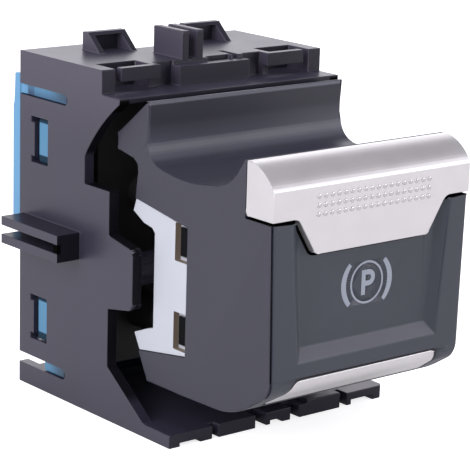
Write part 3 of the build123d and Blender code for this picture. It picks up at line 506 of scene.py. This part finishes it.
def level_marks(piece, field):
    """Merges the raised marks inside a box, and the face that they stand on, into one flat face."""
    bpy.ops.mesh.select_all(action="DESELECT")
    shape = bmesh.from_edit_mesh(piece.data)
    marked = [face for face in shape.faces if inside(face.calc_center_median(), *field)]
    flat = max(marked, key=lambda face: face.calc_area())
    ground, facing = flat.verts[0].co.copy(), flat.normal.copy()
    for face in shape.faces:
        height = abs((face.calc_center_median() - ground).dot(facing))
        face.select_set(face in marked or height < weld_distance)
    bmesh.update_edit_mesh(piece.data)
    bpy.ops.mesh.dissolve_faces(use_verts=False)


def moulding(name, marks=None):
    """A copy of a CAD node with its flat faces merged; raised marks inside a box are levelled."""
    piece = bpy.data.objects.new(f"{name}_moulding", nodes[name].data.copy())
    bpy.context.scene.collection.objects.link(piece)
    only(piece)
    bpy.ops.object.mode_set(mode="EDIT")
    bpy.ops.mesh.select_all(action="SELECT")
    bpy.ops.mesh.remove_doubles(threshold=weld_distance)
    if marks:
        level_marks(piece, marks)
    bpy.ops.mesh.select_all(action="SELECT")
    bpy.ops.mesh.dissolve_limited(angle_limit=flat_angle)
    bpy.ops.mesh.select_all(action="SELECT")
    bpy.ops.mesh.quads_convert_to_tris(ngon_method="BEAUTY")
    bpy.ops.object.mode_set(mode="OBJECT")
    return piece


def soften(piece, width, zones, common, shortest):
    """Really rounds the sharp edges by a common share of a width, or by the share of their zone."""
    mesh = piece.data
    shape = bmesh.new()
    shape.from_mesh(mesh)
    weights = []
    for edge in shape.edges:
        sharp = (edge.is_manifold and edge.calc_length() > shortest
                 and edge.calc_face_angle() > crease_angle)
        middle = (edge.verts[0].co + edge.verts[1].co) / 2
        weight = common
        for corner_low, corner_high, share in zones:
            if inside(middle, corner_low, corner_high):
                weight = share
        weights.append(weight if sharp else 0.0)
    shape.free()
    mesh.attributes.new("bevel_weight_edge", "FLOAT", "EDGE").data.foreach_set("value", weights)
    rounding = piece.modifiers.new("rounding", "BEVEL")
    rounding.limit_method = "WEIGHT"
    rounding.width = width
    rounding.segments = edge_segments
    rounding.use_clamp_overlap = False
    bpy.ops.object.modifier_apply(modifier="rounding")
    bpy.ops.object.shade_smooth_by_angle(angle=crease_angle)
    flatness = piece.modifiers.new("flatness", "WEIGHTED_NORMAL")
    flatness.keep_sharp = True
    bpy.ops.object.modifier_apply(modifier="flatness")


def stand_in(node, finish, zones=(), common=1.0, shortest=shortest_edge, marks=None):
    """A copy of a CAD node with rounded edges takes the node's place."""
    piece = moulding(node, marks)
    soften(piece, edge_width[node], zones, common, shortest)
    fit(piece, node, finish)
    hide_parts(node)


def fresh(name):
    """Names the primitive just added, settles it at the origin and opens it for editing."""
    piece = bpy.context.object
    piece.name = name
    bpy.ops.object.transform_apply(location=True, rotation=True, scale=True)
    bpy.ops.object.mode_set(mode="EDIT")
    bpy.ops.mesh.select_all(action="SELECT")
    return piece


def close(piece, smooth_angle):
    """Turns the faces outwards and ends the editing of a piece."""
    bpy.ops.mesh.select_all(action="SELECT")
    bpy.ops.mesh.normals_make_consistent(inside=False)
    bpy.ops.object.mode_set(mode="OBJECT")
    bpy.ops.object.shade_smooth_by_angle(angle=smooth_angle)
    return piece


def disc(name, centre, radius, sides, turn):
    """A flat disc that faces along Y, open for editing."""
    bpy.ops.object.select_all(action="DESELECT")
    bpy.ops.mesh.primitive_circle_add(vertices=sides, radius=radius, fill_type="NGON",
                                      location=centre, rotation=(turn, 0, 0))
    return fresh(name)


def mound(name, foot, radius, height, rings, towards):
    """A turned shape on a face that looks along Y: rings give its rise and radius as shares."""
    piece = disc(name, foot, radius, turned_sides, rear_turn * towards)
    reached, span = 0.0, 1.0
    for rise, share in rings:
        step = (0, (rise - reached) * height * towards, 0)
        bpy.ops.mesh.extrude_region_move(TRANSFORM_OT_translate={"value": step})
        narrowing = share / span
        bpy.ops.transform.resize(value=(narrowing, 1, narrowing), center_override=foot)
        reached, span = rise, share
    return close(piece, turned_smoothing)


def ring_mark(name, centre, radius, line, rise):
    """A thin raised ring on a face that looks to the rear."""
    piece = disc(name, centre, radius, ring_sides, rear_turn)
    bpy.ops.mesh.inset(thickness=line)
    bpy.ops.mesh.delete(type="FACE")
    bpy.ops.mesh.select_all(action="SELECT")
    bpy.ops.mesh.extrude_region_move(TRANSFORM_OT_translate={"value": (0, rise, 0)})
    return close(piece, block_smoothing)


def block(name, corner_low, corner_high, easing, rear_share=(1, 1)):
    """A small eased block between two corners; its rear end can be narrowed in X and Z."""
    bpy.ops.object.select_all(action="DESELECT")
    bpy.ops.mesh.primitive_cube_add(size=1, location=(corner_low + corner_high) / 2)
    bpy.context.object.scale = corner_high - corner_low
    piece = fresh(name)
    shape = bmesh.from_edit_mesh(piece.data)
    for face in shape.faces:
        face.select_set(face.normal.y > squarely)
    bmesh.update_edit_mesh(piece.data)
    root = ((corner_low.x + corner_high.x) / 2, corner_high.y, corner_high.z)
    bpy.ops.transform.resize(value=(rear_share[0], 1, rear_share[1]), center_override=root)
    bpy.ops.mesh.select_all(action="SELECT")
    bpy.ops.mesh.bevel(offset=easing, segments=easing_steps)
    return close(piece, block_smoothing)


def repeat(piece, count, offset):
    """Copies a piece in a row."""
    only(piece)
    row = piece.modifiers.new("row", "ARRAY")
    row.count = count
    row.use_relative_offset = False
    row.use_constant_offset = True
    row.constant_offset_displace = offset
    bpy.ops.object.modifier_apply(modifier="row")


def grid(piece, columns, column_step, rows, row_step):
    """Copies a piece in columns along X and rows along Z."""
    repeat(piece, columns, (column_step, 0, 0))
    repeat(piece, rows, (0, 0, row_step))


# Housing, paddle, cover and what they carry
stand_in("housing", housing_finish())
stand_in("paddle_shell", paddle_finish(), [tongue_edges, scoop_rim_edges], paddle_share)
stand_in("face_panel", panel_finish(), [symbol_edges, tongue_edges], paddle_share)
dress(moulded("block_black"), "switch_block")
cover_blue = cover_finish()
stand_in("rear_cover", cover_blue)
stand_in("carrier", carrier_finish())
dress(moulded("plunger_natural"), *[f"plunger_{corner}" for corner in corners])
dress(moulded("dome_rubber"), *[f"contact_dome_{corner}" for corner in corners])
silver = satin_silver("trim_silver")
stand_in("grip_trim", silver, marks=dot_field)
grip_dots = mound("grip_dots", first_dot, dot_radius, dot_height, dome_rings, -1)
grid(grip_dots, dot_columns, dot_step, dot_rows, dot_row_step)
fit(grip_dots, "grip_trim", satin_silver("dot_silver"))
stand_in("lower_trim", silver, shortest=shortest_strip_edge)
dress(moulded("symbol_grey"), "park_symbol")
dress(moulded("guide_clear", Transmission_Weight=0.8), "light_guide")
dress(moulded("board_green"), "circuit_board")
dress(moulded("led_white"), "symbol_led")
chip_black = moulded("chip_black")
dress(chip_black, "control_chip")
steel = moulded("pin_steel", Metallic=1.0)
dress(steel, "pivot_pin_left", "pivot_pin_right", *[f"spring_{corner}" for corner in corners])
dress(moulded("terminal_brass", Metallic=1.0), *[f"terminal_pin_{number}" for number in terminals])

# Behind the board: solder round each terminal, and two columns of small resistors
solder = mound("board_solder", first_terminal, solder_radius, solder_height, solder_rings, 1)
grid(solder, terminal_columns, terminal_step, terminal_rows, terminal_row_step)
fit(solder, "circuit_board", steel)
for side, left in resistor_columns.items():
    resistors = block(f"board_resistors_{side}", point(left, board_back, resistor_low),
                      point(left + resistor_length, resistor_back, resistor_high), resistor_easing)
    repeat(resistors, resistors_in_column, (0, 0, resistor_step))
    fit(resistors, "circuit_board", chip_black)
    ends = block(f"board_resistor_ends_{side}", point(left - end_overhang, board_back, end_low),
                 point(left + end_reach, end_back, end_high), end_easing)
    grid(ends, 2, end_step, resistors_in_column, resistor_step)
    fit(ends, "circuit_board", steel)

# Keys inside the connector shroud's roof, a latch ramp on top, and ejector marks on the lower back
keys = block("connector_keys", key_low, key_high, key_easing, key_tip)
repeat(keys, 2, (key_step, 0, 0))
fit(keys, "rear_cover", cover_blue)
ramp = block("connector_latch_ramp", ramp_low, ramp_high, ramp_easing)
fit(ramp, "rear_cover", cover_blue)
ejector_marks = ring_mark("cover_ejector_marks", first_mark, mark_radius, mark_line, mark_rise)
grid(ejector_marks, mark_columns, mark_step, mark_rows, mark_row_step)
fit(ejector_marks, "rear_cover", cover_blue)


def white_floor():
    """A pale matt floor that the camera sees as white and that still takes a shadow."""
    material = bpy.data.materials.new("floor_white")
    graph = Graph(material)
    seen = graph.add("ShaderNodeLightPath", output="Is Camera Ray")
    mirrored = graph.add("ShaderNodeLightPath", output="Is Glossy Ray")
    strength = seen * floor_seen_glow + mirrored * floor_mirrored_glow
    matt = graph.add("ShaderNodeBsdfDiffuse", {}, {"Color": grey(floor_level)})
    glow = graph.add("ShaderNodeEmission", {}, {"Strength": strength})
    both = graph.add("ShaderNodeAddShader", {}, {0: matt, 1: glow})
    graph.add("ShaderNodeOutputMaterial", {}, {"Surface": both})
    return material


def studio_world():
    """A room that is bright at the horizon and dimmer overhead, and white behind the object."""
    world = bpy.data.worlds.new("studio_world")
    bpy.context.scene.world = world
    graph = Graph(world)
    direction = graph.add("ShaderNodeTexCoord", output="Generated")
    height = graph.add("ShaderNodeSeparateXYZ", {}, {0: direction}, "Z")
    level = height.fade(horizon_end, zenith_start) * (zenith_level - horizon_level) + horizon_level
    seen = graph.add("ShaderNodeLightPath", output="Is Camera Ray")
    strength = level * (1 - seen) + seen
    colour = graph.blend(seen, (*cool_white, 1.0), grey(1.0))
    background = graph.add("ShaderNodeBackground", {}, {"Color": colour, "Strength": strength})
    graph.add("ShaderNodeOutputWorld", {}, {"Surface": background})


def area_lamp(name, place, width, height, power):
    """A soft rectangular lamp that faces the object."""
    lamp = bpy.data.lights.new(name, "AREA")
    lamp.shape = "RECTANGLE"
    lamp.size = width
    lamp.size_y = height
    lamp.energy = power
    lamp.color = cool_white
    thing = bpy.data.objects.new(name, lamp)
    bpy.context.scene.collection.objects.link(thing)
    thing.location = place
    thing.rotation_euler = (Vector(lamp_aim) - Vector(place)).to_track_quat("-Z", "Y").to_euler()


bpy.ops.object.select_all(action="DESELECT")
bpy.ops.mesh.primitive_plane_add(size=floor_size, location=(0, 0, 0))
floor = bpy.context.object
floor.name = "studio_floor"
floor.data.materials.append(white_floor())
studio_world()
for lamp_name, lamp_row in lamps.items():
    area_lamp(lamp_name, *lamp_row)

camera = bpy.data.cameras.new("photo_camera")
camera.lens = camera_lens
camera.sensor_width = sensor_width
camera.clip_start = nearest_seen
viewer = bpy.data.objects.new("photo_camera", camera)
bpy.context.scene.collection.objects.link(viewer)
viewer.location = camera_place
viewer.rotation_euler = [radians(angle) for angle in camera_turn]
bpy.context.scene.camera = viewer
bpy.context.scene.view_settings.view_transform = "Standard"
